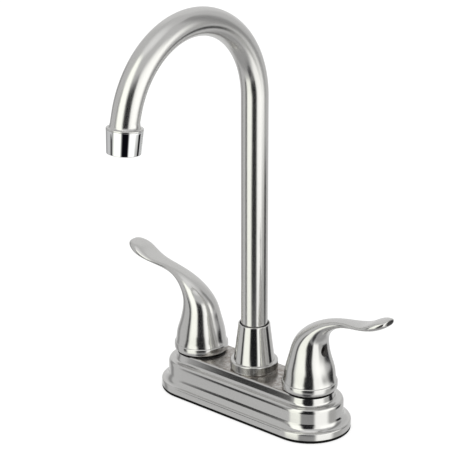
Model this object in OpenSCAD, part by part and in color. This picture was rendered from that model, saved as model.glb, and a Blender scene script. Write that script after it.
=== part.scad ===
// Gooseneck bar faucet: two lever handles on 4 in centres, swivelling spout.
// Millimetres, +Z up. The origin is the centre of the base on the deck,
// X runs along the base and the spout points towards -Y.

/* [Base] */
// Distance between the two handle axes
handle_spacing = 101.6; // [98:0.2:106]
// Half width and end radius of the bottom flange
flange_r = 29.3; // [28.6:0.1:31]
// Half width and end radius of the tall middle step
step_r = 24; // [23.6:0.1:24.6]
// Half width and end radius of the raised top plateau
plateau_r = 17.5; // [17.4:0.1:18.4]
// Height of the middle step's ledge above the deck
ledge_z = 22.4; // [21.8:0.1:23.2]
// Height of the plateau above the deck
plateau_z = 28.8; // [28.2:0.1:30]
// Wall thickness of the base cover
cover_wall = 1.6; // [1.3:0.1:1.8]
// Thickness of the gasket between cover and deck
gasket_t = 1.2; // [1:0.1:1.6]

/* [Spout] */
// Outside diameter of the gooseneck tube
tube_od = 19.05; // [18.6:0.05:19.4]
// Wall thickness of the gooseneck tube
tube_wall = 1.2; // [1:0.1:1.5]
// Centreline radius of the bend
bend_r = 63; // [56:0.5:70]
// Height of the bend's centre above the deck
bend_z = 231; // [180:1:260]
// Angle of the bend, 180 points straight down
bend_angle = 174.4; // [170:0.2:178]
// Length of the flared outlet end
flare_len = 5.2; // [4.6:0.2:7]
// Radius of the flared rim that meets the aerator
rim_r = 12.1; // [11.9:0.1:12.6]

/* [Spout nut] */
// Height of the whole spout nut
nut_h = 35.1; // [32:0.1:40]
// Radius over the knurled band
knurl_r = 17.1; // [16.8:0.1:17.3]
// Height of the knurled band
knurl_h = 7.1; // [6:0.1:8]
// Number of knurl ridges
knurl_count = 72; // [48:4:90]
// Radius at the foot of the taper
taper_foot_r = 14.65; // [14.4:0.05:15.4]
// Radius at the top of the taper
taper_top_r = 11.25; // [11.2:0.05:11.8]

/* [Aerator] */
// Length of the aerator housing
aerator_len = 15.7; // [14.4:0.1:18]
// Radius of the aerator housing at its mouth
aerator_mouth_r = 11.1; // [10.9:0.1:11.6]
// Radius of the opening in the mouth
mouth_bore_r = 9.1; // [8.6:0.1:9.3]
// Radius of the small straightener holes
jet_r = 1; // [0.7:0.05:1.1]

/* [Handles] */
// Gap between the plateau and the handle skirt
skirt_gap = 0.8; // [0.6:0.1:1.4]
// Largest radius of the bead round the skirt
bead_r = 19.7; // [19.4:0.1:20.2]
// Height of the bead
bead_h = 6.4; // [6:0.1:7]
// Radius of the bell just above the bead
bell_r = 18.2; // [18:0.1:18.6]
// Height of the lever's crown above the deck
crown_z = 90; // [88:0.5:94]
// Distance from the handle axis to the lever's tip
lever_reach = 68; // [62:0.5:76]
// Half width of the lever at its narrow neck
neck_half_w = 4.2; // [3.8:0.1:5]
// Half width of the paddle
paddle_half_w = 10.5; // [9:0.1:12]
// Thickness of the skirt wall
skirt_wall = 2.2; // [1.8:0.1:2.4]
// Radius of the set screw's hole
screw_r = 2.2; // [1.8:0.1:2.5]
// Height of the set screw above the deck
screw_z = 60.8; // [58:0.2:63]

/* [Valves] */
// Radius of the valve chambers in the casting
chamber_r = 9.3; // [9.2:0.05:9.6]
// Radius of the ceramic discs
disc_r = 7.9; // [7.6:0.05:8]
// Thickness of one ceramic disc
disc_t = 3; // [2.4:0.1:3.2]
// Radius of the valve stem in its gland
stem_r = 6; // [5.6:0.1:6.4]
// Radius over the stem's spline teeth
spline_r = 4; // [3.7:0.1:4.4]
// Number of spline teeth
spline_count = 20; // [16:2:24]

/* [Deck fixing] */
// Outside radius of the supply shanks
shank_r = 10.4; // [10:0.1:10.8]
// Bore radius of the supply shanks
shank_bore_r = 6.5; // [5.5:0.1:7.5]
// Length of the shanks below the deck
shank_len = 50; // [46:1:64]
// Space left for the deck between gasket and washers
deck_space = 20; // [14:0.5:24]
// Thickness of the shank washers
washer_t = 1.5; // [1:0.1:2.5]
// Height of the lock nuts
lock_nut_h = 11; // [9:0.5:14]
// Radius of the lock nut's flange
lock_nut_r = 18; // [16:0.5:20]

/* [Hidden] */
$fn = 96;

// Clearances
run_gap = 0.05;      // a piece that turns in its bore
slip_gap = 0.05;     // a piece that is pushed or screwed into its bore
seat_gap = 0.3;      // round things that pass through a hole
ring_gap = 0.02;     // an O-ring and the walls it lies between
groove_gap = 0.05;   // an O-ring and each end of its groove
over = 1;            // how far a cutter runs past what it cuts

// Colours
nickel = [0.70, 0.69, 0.67];
chrome = [0.86, 0.87, 0.88];
brass = [0.78, 0.63, 0.30];
black = [0.08, 0.08, 0.08];
ceramic = [0.93, 0.92, 0.88];
nylon = [0.90, 0.90, 0.86];
steel = [0.62, 0.63, 0.65];

axis_x = handle_spacing / 2;
tube_r = tube_od / 2;
tube_bore_r = tube_r - tube_wall;

// Levels of the casting
barrel_z = 6;
barrel_r = 13.6;
neck_r = 12;
neck_top_z = plateau_z + 4.6;
ceiling_z = plateau_z - cover_wall;
barrel_top_z = ceiling_z - 0.2;
shank_top_z = barrel_z + 6;
chamber_z = shank_top_z + 1.2;
hub_r = 13.4;
hub_neck_r = 12.9;
hub_top_z = plateau_z + 12.2;
hub_bore_r = 10;
hub_floor_z = 13;
passage_z = 19;
passage_r = 4.5;
passage_wall = 3;
port_r = 4.2;

// Levels of the cartridge, from the chamber floor up
seal_t = 1.8;
fixed_z = chamber_z + seal_t;
moving_z = fixed_z + disc_t;
foot_z = moving_z + disc_t;
foot_t = 3.6;
foot_top_z = foot_z + foot_t;
head_z = neck_top_z;
head_h = 4.6;
head_flats = 22;
gland_r = stem_r + 2.2;
gland_top_z = head_z + head_h + 6.4;
spline_z = gland_top_z + 0.6;
spline_top_z = screw_z + 6;
stem_ring_z = gland_top_z - 4;
stem_ring_t = 0.7;
body_ring_t = 0.85;
disc_bore_r = disc_r + 0.1;
disc_port_r = 0.27 * disc_r;
disc_port_at = 0.48 * disc_r;
drive_slot_w = 3.2;
drive_slot_d = 1.2;
drive_gap = 0.1;
window_w = 7;
hold_nut_h = 3.4;

// Levels of the handle
skirt_z = plateau_z + skirt_gap;
loft_z = skirt_z + bead_h;
skirt_r = bead_r - 2.3;
cavity_r = bead_r - 1.5 - skirt_wall;

// Levels of the spout's foot and nut
foot_flange_r = 11.6;
foot_flange_t = 2;
tube_end_z = hub_top_z + foot_flange_t;
thrust_t = 1;
nut_shoulder_z = tube_end_z + thrust_t;
nut_top_z = plateau_z + nut_h;
nut_bore_r = tube_r + 0.85;
foot_ring_t = 0.75;
foot_bottom_z = passage_z + 2.5;
foot_bore_r = tube_bore_r - 1.6;
foot_spigot_h = 9;
bush_z = nut_shoulder_z + 2;
bush_h = 12;

function arc(cx, cy, r, a0, a1, n) = [
    for (i = [0 : n])
        let (a = a0 + (a1 - a0) * i / n)
        [cx + r * cos(a), cy + r * sin(a)]
];

// ---------- base ----------

// Section of the stepped cover from its rim up to the plateau's edge
lip_z = 6.2;
swell_top_z = 10.2;
cove_r = 2.9;
function cover_outline() = concat(
    [[flange_r, gasket_t]],
    arc(flange_r - 1, lip_z - 1.2, 1, 0, 70, 4),
    [[flange_r - 0.95, lip_z]],
    [[flange_r - 1.1, lip_z + 1.4]],
    arc(flange_r - 2.5, swell_top_z - 1.4, 1.3, 15, 90, 4),
    arc(step_r + cove_r, swell_top_z + cove_r, cove_r, 270, 180, 6),
    arc(step_r - 1.7, ledge_z - 1.7, 1.7, 0, 90, 5),
    arc(plateau_r + 0.9, ledge_z + 0.9, 0.9, 270, 180, 4),
    arc(plateau_r - 1.2, plateau_z - 1.2, 1.2, 0, 90, 5)
);

// The hollow below follows the steps at one wall's distance
function cover_hollow() = let (w = cover_wall) [
    [0, ceiling_z],
    [plateau_r - w, ceiling_z],
    [plateau_r - w, ledge_z - w],
    [step_r - w - 1, ledge_z - w],
    [step_r - w, ledge_z - w - 1],
    [step_r - w, swell_top_z + cove_r],
    [step_r + cove_r - w, swell_top_z - w],
    [flange_r - w - 1.3, lip_z],
    [flange_r - w, lip_z - 2],
    [flange_r - w, gasket_t]
];

// A half section swept round a long base with two round ends
module round_ended() {
    for (side = [-1, 1])
        translate([side * axis_x, 0, 0])
            rotate([0, 0, -90 * side])
                rotate_extrude(angle = 180)
                    children();
    translate([-axis_x, 0, 0])
        rotate([90, 0, 90])
            linear_extrude(height = handle_spacing) {
                children();
                mirror([1, 0])
                    children();
            }
}

module slab(r, z0, z1) {
    round_ended()
        translate([0, z0])
            square([r, z1 - z0]);
}

module base_cover() {
    color(nickel)
        difference() {
            round_ended()
                polygon(concat([[0, plateau_z]], cover_hollow(), cover_outline()));
            for (side = [-1, 1])
                translate([side * axis_x, 0, ceiling_z - over])
                    cylinder(r = neck_r + seat_gap, h = cover_wall + 2 * over);
            translate([0, 0, ceiling_z - over])
                cylinder(r = hub_neck_r + seat_gap, h = cover_wall + 2 * over);
        }
}

module base_gasket() {
    rim_in = flange_r - cover_wall - seat_gap;
    color(black)
        difference() {
            union() {
                slab(flange_r - 0.4, 0, gasket_t);
                slab(rim_in, gasket_t, gasket_t + 2);
            }
            slab(rim_in - 2, gasket_t, gasket_t + 2 + over);
            for (side = [-1, 1])
                translate([side * axis_x, 0, -over])
                    cylinder(r = shank_r + seat_gap, h = gasket_t + 2 * over);
        }
}

module waterway_casting() {
    color(brass)
        difference() {
            union() {
                for (side = [-1, 1])
                    translate([side * axis_x, 0, barrel_z]) {
                        cylinder(r = barrel_r, h = barrel_top_z - barrel_z);
                        cylinder(r = neck_r, h = neck_top_z - barrel_z);
                    }
                translate([0, 0, hub_floor_z - passage_wall])
                    cylinder(r = hub_r, h = barrel_top_z - hub_floor_z + passage_wall);
                translate([0, 0, hub_floor_z])
                    cylinder(r = hub_neck_r, h = hub_top_z - hub_floor_z);
                translate([-axis_x, 0, passage_z])
                    rotate([0, 90, 0])
                        cylinder(r = passage_r + passage_wall, h = handle_spacing);
            }
            for (side = [-1, 1])
                translate([side * axis_x, 0, 0]) {
                    translate([0, 0, barrel_z - over])
                        cylinder(r = shank_r + slip_gap, h = shank_top_z - barrel_z + over);
                    translate([0, 0, shank_top_z - over])
                        cylinder(r = port_r, h = chamber_z - shank_top_z + 2 * over);
                    translate([0, 0, chamber_z])
                        cylinder(r = chamber_r, h = neck_top_z - chamber_z + over);
                    translate([0, 0, neck_top_z - 2 * body_ring_t])
                        cylinder(r = chamber_r + 2 * body_ring_t, h = 2 * body_ring_t + over);
                }
            translate([0, 0, hub_floor_z])
                cylinder(r = hub_bore_r, h = hub_top_z - hub_floor_z + over);
            translate([-axis_x, 0, passage_z])
                rotate([0, 90, 0])
                    cylinder(r = passage_r, h = handle_spacing);
        }
}

// ---------- deck fixing ----------

module at_side(side) {
    if (side > 0)
        translate([axis_x, 0, 0])
            children();
    else
        mirror([1, 0, 0])
            translate([axis_x, 0, 0])
                children();
}

thread_end = 12;
module shank(side) {
    color(brass)
        at_side(side)
            rotate_extrude()
                polygon([
                    [shank_bore_r, -shank_len],
                    [shank_r - 0.8, -shank_len],
                    [shank_r, -shank_len + 0.8],
                    [shank_r, -shank_len + thread_end],
                    [shank_r - 1, -shank_len + thread_end],
                    [shank_r - 1, -shank_len + thread_end + 1.6],
                    [shank_r, -shank_len + thread_end + 1.6],
                    [shank_r, shank_top_z],
                    [shank_bore_r, shank_top_z]
                ]);
}

module shank_washer(side) {
    color(steel)
        at_side(side)
            translate([0, 0, -deck_space - washer_t])
                difference() {
                    cylinder(r = lock_nut_r + 1.5, h = washer_t);
                    translate([0, 0, -over])
                        cylinder(r = shank_r + seat_gap, h = washer_t + 2 * over);
                }
}

module lock_nut(side) {
    nut_top = -deck_space - washer_t;
    hub = shank_r + 3.4;
    color(nylon)
        at_side(side)
            translate([0, 0, nut_top - lock_nut_h])
                difference() {
                    union() {
                        cylinder(r = hub, h = lock_nut_h);
                        translate([0, 0, lock_nut_h - 2.5])
                            cylinder(r = lock_nut_r, h = 2.5);
                        for (a = [45 : 90 : 315])
                            rotate([0, 0, a])
                                translate([hub - 1, -1.5, 0])
                                    cube([lock_nut_r - hub + 0.4, 3, lock_nut_h - 1]);
                    }
                    translate([0, 0, -over])
                        cylinder(r = shank_r + slip_gap, h = lock_nut_h + 2 * over);
                }
}

module hold_down_nut(side) {
    color(brass)
        at_side(side)
            translate([0, 0, plateau_z])
                difference() {
                    cylinder(r = cavity_r - 0.8, h = hold_nut_h, $fn = 6);
                    translate([0, 0, -over])
                        cylinder(r = neck_r + slip_gap, h = hold_nut_h + 2 * over);
                }
}

// ---------- cartridges ----------

module cartridge_body(side) {
    sleeve_r = chamber_r - slip_gap;
    sleeve_z = fixed_z - 0.6;
    color(brass)
        at_side(side)
            difference() {
                union() {
                    translate([0, 0, sleeve_z])
                        cylinder(r = sleeve_r, h = head_z - sleeve_z);
                    translate([0, 0, head_z])
                        cylinder(r = head_flats / 2 / cos(30), h = head_h, $fn = 6);
                    translate([0, 0, head_z])
                        cylinder(r = gland_r, h = gland_top_z - head_z);
                }
                translate([0, 0, sleeve_z - over])
                    cylinder(r = disc_bore_r, h = foot_top_z + 0.2 - sleeve_z + over);
                translate([0, 0, sleeve_z])
                    cylinder(r = stem_r + run_gap, h = gland_top_z - sleeve_z + over);
                translate([-chamber_r - over, -window_w / 2, foot_z + 0.3])
                    cube([2 * (chamber_r + over), window_w, foot_t - 0.4]);
            }
}

module cartridge_o_ring(side) {
    color(black)
        at_side(side)
            translate([0, 0, neck_top_z - body_ring_t])
                rotate_extrude()
                    translate([chamber_r + body_ring_t, 0])
                        circle(r = body_ring_t - ring_gap, $fn = 32);
}

module seat_seal(side) {
    color(black)
        at_side(side)
            translate([0, 0, chamber_z])
                difference() {
                    cylinder(r = disc_r - 1, h = seal_t);
                    translate([0, 0, -over])
                        cylinder(r = port_r, h = seal_t + 2 * over);
                }
}

// Two ports face each other across a ceramic disc
module disc_ports(z0, z1) {
    for (a = [0, 180])
        rotate([0, 0, a])
            translate([0, disc_port_at, z0])
                cylinder(r = disc_port_r, h = z1 - z0);
}

module fixed_disc(side) {
    color(ceramic)
        at_side(side)
            translate([0, 0, fixed_z])
                difference() {
                    cylinder(r = disc_r, h = disc_t);
                    disc_ports(-over, disc_t + over);
                }
}

// The moving disc lies a quarter turn off the ports, so the valve is shut
module moving_disc(side) {
    color(ceramic)
        at_side(side)
            translate([0, 0, moving_z])
                difference() {
                    cylinder(r = disc_r, h = disc_t);
                    rotate([0, 0, 90])
                        disc_ports(-over, disc_t - drive_slot_d - 0.6);
                    translate([-disc_r - over, -drive_slot_w / 2, disc_t - drive_slot_d])
                        cube([2 * (disc_r + over), drive_slot_w, drive_slot_d + over]);
                }
}

// ---------- stems ----------

function spline_points(r, count, depth) = [
    for (i = [0 : count - 1], k = [0 : 3])
        let (
            pitch = 360 / count,
            a = pitch * (i + [-0.3, -0.16, 0.16, 0.3][k]),
            rr = (k == 0 || k == 3) ? r - depth : r
        )
        [rr * cos(a), rr * sin(a)]
];

module stem(side) {
    groove_r = stem_r - 2 * stem_ring_t;
    tab_len = 2 * disc_r - 1.2;
    tab_w = drive_slot_w - 2 * drive_gap;
    color(brass)
        at_side(side)
            difference() {
                union() {
                    translate([0, 0, foot_z]) {
                        cylinder(r = disc_r - 0.1, h = foot_t);
                        cylinder(r = stem_r, h = spline_z - foot_z);
                    }
                    translate([-tab_len / 2, -tab_w / 2, foot_z - drive_slot_d + drive_gap])
                        cube([tab_len, tab_w, drive_slot_d]);
                    translate([0, 0, foot_top_z])
                        linear_extrude(height = spline_top_z - foot_top_z)
                            polygon(spline_points(spline_r, spline_count, 0.35));
                }
                translate([0, 0, stem_ring_z - stem_ring_t - groove_gap])
                    rotate_extrude()
                        translate([groove_r, 0])
                            square([stem_r, 2 * (stem_ring_t + groove_gap)]);
            }
}

module stem_o_ring(side) {
    color(black)
        at_side(side)
            translate([0, 0, stem_ring_z])
                rotate_extrude()
                    translate([stem_r - stem_ring_t, 0])
                        circle(r = stem_ring_t - ring_gap, $fn = 32);
}

// ---------- lever handles ----------

// Cubic B-spline through a clamped control polygon
function clamped(p) = concat([p[0], p[0]], p, [p[len(p) - 1], p[len(p) - 1]]);
function blend_of(q, i, u) =
    (pow(1 - u, 3) * q[i]
    + (3 * pow(u, 3) - 6 * u * u + 4) * q[i + 1]
    + (3 * u + 3 * u * u - 3 * pow(u, 3) + 1) * q[i + 2]
    + pow(u, 3) * q[i + 3]) / 6;
function spline_at(p, t) =
    let (
        q = clamped(p),
        spans = len(q) - 3,
        i = min(floor(t * spans), spans - 1)
    )
    blend_of(q, i, t * spans - i);

// Side view of the handle, measured from its own axis: the back runs up
// the inner side and over the lever's top, the belly up the outer side
// and along the lever's underside
function back_line() = [
    [-bell_r, loft_z],
    [-bell_r + 1, loft_z + 9],
    [-bell_r + 4, loft_z + 20],
    [-bell_r + 6.2, crown_z - 21.5],
    [7.7, crown_z - 6.5],
    [29, crown_z - 0.7],
    [lever_reach - 19.7, crown_z],
    [lever_reach - 10, crown_z + 8],
    [lever_reach - 1, crown_z + 9]
];
function belly_line() = [
    [bell_r, loft_z],
    [bell_r - 1, loft_z + 9],
    [bell_r - 3.2, loft_z + 16],
    [bell_r - 3.7, crown_z - 29],
    [bell_r - 7.4, crown_z - 20],
    [23, crown_z - 7.5],
    [lever_reach - 24.2, crown_z - 3.7],
    [lever_reach - 9, crown_z - 1],
    [lever_reach - 1, crown_z + 4.5]
];
// Half widths across the handle at the same stations
function half_widths() = [
    bell_r, bell_r - 1, bell_r - 3.6, bell_r - 8.4, bell_r - 8.4,
    neck_half_w, paddle_half_w - 2.5, paddle_half_w, paddle_half_w - 4.5
];
// Exponent of the section's superellipse: round below, flatter on the paddle
function section_power() = [2, 2, 2, 2, 2.1, 2.2, 2.4, 2.4, 2.4];

body_rings = 30;
tip_rings = 6;
ring_points = 28;
tip_start = 0.86;
// Station of each ring and how far the rounded tip has closed in there
function ring_station(k) =
    k <= body_rings
        ? tip_start * k / body_rings
        : tip_start + (1 - tip_start) * sin(88 * (k - body_rings) / tip_rings);
function ring_close(k) = k <= body_rings ? 1 : cos(88 * (k - body_rings) / tip_rings);
function rounded(c, power) = sign(c) * pow(abs(c), 2 / power);
function ring(k) =
    let (
        t = ring_station(k),
        f = ring_close(k),
        back = spline_at(back_line(), t),
        belly = spline_at(belly_line(), t),
        w = spline_at(half_widths(), t) * f,
        power = spline_at(section_power(), t),
        mid = (back + belly) / 2,
        half = (belly - back) / 2 * pow(f, 0.6)
    )
    [
        for (j = [0 : ring_points - 1])
            let (
                a = 360 * j / ring_points,
                c = rounded(cos(a), power),
                s = rounded(sin(a), power)
            )
            [mid[0] + half[0] * c, w * s, mid[1] + half[1] * c]
    ];

function loft_faces(rings, n) = concat(
    [[for (j = [0 : n - 1]) j]],
    [
        for (k = [0 : rings - 2], j = [0 : n - 1])
            [k * n + j, (k + 1) * n + j, k * n + (j + 1) % n]
    ],
    [
        for (k = [0 : rings - 2], j = [0 : n - 1])
            [k * n + (j + 1) % n, (k + 1) * n + j, (k + 1) * n + (j + 1) % n]
    ],
    [[for (j = [n - 1 : -1 : 0]) (rings - 1) * n + j]]
);

// The first ring is repeated lower down, inside the bead
function foot_ring() = [for (p = ring(0)) [p[0], p[1], loft_z - 2]];

module lever_loft() {
    rings = body_rings + tip_rings + 1;
    points = concat(
        foot_ring(),
        [for (k = [0 : rings - 1]) each ring(k)]
    );
    polyhedron(points, loft_faces(rings + 1, ring_points));
}

module skirt_bead() {
    rotate_extrude()
        polygon(concat(
            [[0, skirt_z], [skirt_r, skirt_z]],
            arc(bead_r - 2.6, loft_z - 3, 2.6, -35, 62, 7),
            [[bell_r + 0.15, loft_z - 0.1], [0, loft_z - 0.1]]
        ));
}

// Hollow for the nut, the cartridge head and the gland, then the spline socket
module handle_cavity() {
    head_room_z = head_z + head_h + 1.4;
    rotate_extrude()
        polygon([
            [0, skirt_z - over],
            [cavity_r, skirt_z - over],
            [cavity_r, loft_z],
            [bell_r - 1 - skirt_wall, head_room_z],
            [gland_r + 0.8, gland_top_z + 0.6],
            [spline_r + slip_gap, gland_top_z + 0.6],
            [spline_r + slip_gap, spline_top_z + 0.5],
            [0, spline_top_z + 0.5]
        ]);
}

module lever_handle(side) {
    color(nickel)
        at_side(side)
            difference() {
                union() {
                    lever_loft();
                    skirt_bead();
                }
                handle_cavity();
                translate([0, 0, screw_z])
                    rotate([0, 90, 0])
                        cylinder(r = screw_r, h = bead_r);
            }
}

module set_screw(side) {
    color(steel)
        at_side(side)
            translate([spline_r + 0.05, 0, screw_z])
                rotate([0, 90, 0])
                    difference() {
                        cylinder(r = screw_r - slip_gap, h = 5.5);
                        translate([0, 0, 3])
                            cylinder(r = screw_r * 0.55, h = 3, $fn = 6);
                    }
}

// ---------- spout nut ----------

function knurl_points(r, count, depth) = [
    for (i = [0 : count - 1], k = [0 : 1])
        let (
            a = 360 / count * (i + k / 2),
            rr = r - k * depth
        )
        [rr * cos(a), rr * sin(a)]
];

module spout_nut() {
    wall_z = nut_top_z - 1;
    color(nickel)
        difference() {
            union() {
                translate([0, 0, plateau_z])
                    cylinder(r1 = knurl_r - 1.2, r2 = knurl_r - 0.4, h = 1.6);
                translate([0, 0, plateau_z + 1.5])
                    linear_extrude(height = knurl_h - 2.1)
                        polygon(knurl_points(knurl_r, knurl_count, 0.35));
                translate([0, 0, plateau_z + knurl_h - 0.7])
                    cylinder(r1 = knurl_r - 0.4, r2 = knurl_r - 1, h = 0.7);
                translate([0, 0, plateau_z + knurl_h - 0.2])
                    cylinder(
                        r1 = taper_foot_r,
                        r2 = taper_top_r + 0.12,
                        h = wall_z - plateau_z - knurl_h + 0.2
                    );
                translate([0, 0, wall_z])
                    cylinder(r1 = taper_top_r + 0.12, r2 = taper_top_r - 0.1, h = 1);
            }
            translate([0, 0, plateau_z - over])
                cylinder(r = hub_neck_r + slip_gap, h = hub_top_z - plateau_z + over);
            translate([0, 0, hub_top_z - 0.5])
                cylinder(r = foot_flange_r + 0.3, h = nut_shoulder_z - hub_top_z + 0.5);
            translate([0, 0, nut_shoulder_z - over])
                cylinder(r = nut_bore_r, h = nut_top_z - nut_shoulder_z + 2 * over);
        }
}

module spout_thrust_washer() {
    color(nylon)
        translate([0, 0, tube_end_z])
            difference() {
                cylinder(r = foot_flange_r + 0.1, h = thrust_t);
                translate([0, 0, -over])
                    cylinder(r = tube_r + run_gap, h = thrust_t + 2 * over);
            }
}

module nut_guide_bush() {
    color(black)
        translate([0, 0, bush_z])
            difference() {
                cylinder(r = nut_bore_r - slip_gap, h = bush_h);
                translate([0, 0, -over])
                    cylinder(r = tube_r + run_gap, h = bush_h + 2 * over);
            }
}

// ---------- spout ----------

// Places things on the outlet's own axis, +Z back up into the spout
module at_outlet() {
    translate([
        0,
        -bend_r * (1 - cos(bend_angle)),
        bend_z + bend_r * sin(bend_angle)
    ])
        rotate([bend_angle - 180, 0, 0])
            children();
}

module bend_place() {
    translate([0, -bend_r, bend_z])
        rotate([0, -90, 0])
            rotate([0, 0, 90 - bend_angle])
                children();
}

// A rod or bore that follows the neck's centreline round the bend
module bend_rod(r) {
    bend_place()
        rotate_extrude(angle = bend_angle)
            translate([bend_r, 0])
                circle(r = r);
}

nipple_r = rim_r - 1.3;
nipple_len = 6;
rim_edge_r = 0.7;
rim_edge_z = 0.4;
// A rounded shoulder, then a long fillet up to the tube
module flared_end() {
    flare_neck_r = tube_r + draw_down;
    fillet_w = rim_r - flare_neck_r - rim_edge_r - 0.2;
    fillet_h = flare_len - rim_edge_z - rim_edge_r;
    rotate_extrude()
        polygon(concat(
            [[0, -nipple_len], [nipple_r, -nipple_len], [nipple_r, 0], [rim_r, 0]],
            arc(rim_r - rim_edge_r, rim_edge_z, rim_edge_r, 0, 75, 4),
            [
                for (a = [90 : -10 : 0])
                    [
                        flare_neck_r + fillet_w * (1 - cos(a)),
                        flare_len - fillet_h * sin(a)
                    ]
            ],
            [[0, flare_len]]
        ));
}

// Bending draws the tube a hair thinner than its straight part
draw_down = 0.05;
outlet_bore_r = tube_bore_r - 0.4;
module spout_tube() {
    color(nickel)
        difference() {
            union() {
                translate([0, 0, tube_end_z])
                    cylinder(r = tube_r, h = bend_z - tube_end_z);
                bend_rod(tube_r - draw_down);
                at_outlet()
                    flared_end();
            }
            translate([0, 0, tube_end_z - over])
                cylinder(r = tube_bore_r, h = bend_z - tube_end_z + over);
            bend_rod(tube_bore_r - draw_down);
            at_outlet()
                translate([0, 0, -nipple_len - over])
                    cylinder(r = outlet_bore_r, h = nipple_len + over + 0.3);
        }
}

module spout_foot() {
    barrel_r0 = hub_bore_r - run_gap;
    ring_depth = 2 * foot_ring_t;
    color(brass)
        rotate_extrude()
            difference() {
                union() {
                    translate([0, foot_bottom_z])
                        square([barrel_r0, hub_top_z - foot_bottom_z]);
                    translate([0, hub_top_z])
                        square([foot_flange_r, foot_flange_t]);
                    translate([0, tube_end_z])
                        square([tube_bore_r - slip_gap, foot_spigot_h]);
                }
                for (z = spout_ring_levels())
                    translate([barrel_r0 - ring_depth, z - foot_ring_t - groove_gap])
                        square([ring_depth + over, ring_depth + 2 * groove_gap]);
                translate([-over, foot_bottom_z - over])
                    square([foot_bore_r + over, hub_top_z]);
            }
}

function spout_ring_levels() = [hub_top_z - 14, hub_top_z - 5];

module spout_o_ring(z) {
    color(black)
        translate([0, 0, z])
            rotate_extrude()
                translate([hub_bore_r - run_gap - foot_ring_t, 0])
                    circle(r = foot_ring_t - ring_gap, $fn = 32);
}

// ---------- aerator ----------

washer_seat_t = 1.4;
insert_top = -nipple_len - washer_seat_t;
screen_t = 0.5;
lip_t = 0.9;
insert_r = mouth_bore_r + 0.7;

module aerator_housing() {
    color(chrome)
        at_outlet()
            rotate_extrude()
                polygon([
                    [rim_r, -0.35],
                    [rim_r - 0.25, -0.1],
                    [nipple_r + slip_gap, -0.1],
                    [nipple_r + slip_gap, insert_top],
                    [insert_r + slip_gap, insert_top],
                    [insert_r + slip_gap, -aerator_len + lip_t],
                    [mouth_bore_r, -aerator_len + lip_t],
                    [mouth_bore_r, -aerator_len],
                    [aerator_mouth_r - 0.3, -aerator_len],
                    [aerator_mouth_r, -aerator_len + 0.3]
                ]);
}

module aerator_washer() {
    color(black)
        at_outlet()
            translate([0, 0, insert_top])
                difference() {
                    cylinder(r = nipple_r - 0.1, h = washer_seat_t);
                    translate([0, 0, -over])
                        cylinder(r = tube_bore_r - 0.6, h = washer_seat_t + 2 * over);
                }
}

module aerator_screen() {
    color(steel)
        at_outlet()
            translate([0, 0, insert_top - screen_t])
                cylinder(r = insert_r, h = screen_t);
}

module aerator_insert() {
    insert_len = aerator_len - lip_t - screen_t + insert_top;
    pitch = 2.9 * jet_r;
    color(nylon)
        at_outlet()
            translate([0, 0, -aerator_len + lip_t])
                difference() {
                    cylinder(r = insert_r, h = insert_len);
                    translate([0, 0, -over])
                        cylinder(r = jet_r, h = insert_len + 2 * over);
                    for (row = [1, 2], i = [0 : 6 * row - 1])
                        rotate([0, 0, 60 / row * i])
                            translate([pitch * row, 0, -over])
                                cylinder(r = jet_r, h = insert_len + 2 * over);
                }
}

base_cover();
base_gasket();
waterway_casting();
shank(-1);  // left_shank
shank(1);  // right_shank
shank_washer(-1);  // left_shank_washer
shank_washer(1);  // right_shank_washer
lock_nut(-1);  // left_lock_nut
lock_nut(1);  // right_lock_nut
hold_down_nut(-1);  // left_hold_down_nut
hold_down_nut(1);  // right_hold_down_nut
cartridge_body(-1);  // left_cartridge_body
cartridge_body(1);  // right_cartridge_body
cartridge_o_ring(-1);  // left_cartridge_o_ring
cartridge_o_ring(1);  // right_cartridge_o_ring
seat_seal(-1);  // left_seat_seal
seat_seal(1);  // right_seat_seal
fixed_disc(-1);  // left_fixed_disc
fixed_disc(1);  // right_fixed_disc
moving_disc(-1);  // left_moving_disc
moving_disc(1);  // right_moving_disc
stem(-1);  // left_stem
stem(1);  // right_stem
stem_o_ring(-1);  // left_stem_o_ring
stem_o_ring(1);  // right_stem_o_ring
lever_handle(-1);  // left_lever_handle
lever_handle(1);  // right_lever_handle
set_screw(-1);  // left_set_screw
set_screw(1);  // right_set_screw
spout_nut();
spout_thrust_washer();
nut_guide_bush();
spout_tube();
spout_foot();
spout_o_ring(spout_ring_levels()[0]);  // lower_spout_o_ring
spout_o_ring(spout_ring_levels()[1]);  // upper_spout_o_ring
aerator_washer();
aerator_insert();
aerator_screen();
aerator_housing();
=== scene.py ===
"""Looks of a two-handle gooseneck bar faucet in brushed nickel, built round its CAD frame."""

import math

import bmesh
import bpy
from mathutils import Matrix, Vector


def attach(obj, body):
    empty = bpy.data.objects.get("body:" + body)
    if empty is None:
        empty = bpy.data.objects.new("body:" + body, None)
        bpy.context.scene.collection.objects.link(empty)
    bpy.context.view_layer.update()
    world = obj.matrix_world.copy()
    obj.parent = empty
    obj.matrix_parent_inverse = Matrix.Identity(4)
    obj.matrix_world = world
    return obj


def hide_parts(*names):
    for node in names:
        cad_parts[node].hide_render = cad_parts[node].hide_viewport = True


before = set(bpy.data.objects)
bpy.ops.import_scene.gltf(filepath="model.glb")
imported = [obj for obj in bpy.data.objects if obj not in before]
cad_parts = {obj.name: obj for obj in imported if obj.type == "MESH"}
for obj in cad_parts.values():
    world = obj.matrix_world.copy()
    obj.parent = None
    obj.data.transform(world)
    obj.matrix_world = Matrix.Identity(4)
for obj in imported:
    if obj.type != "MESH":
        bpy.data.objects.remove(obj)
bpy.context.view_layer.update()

# ---------------------------------------------------------------- sizes, in millimetres

MM = 0.001

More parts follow.
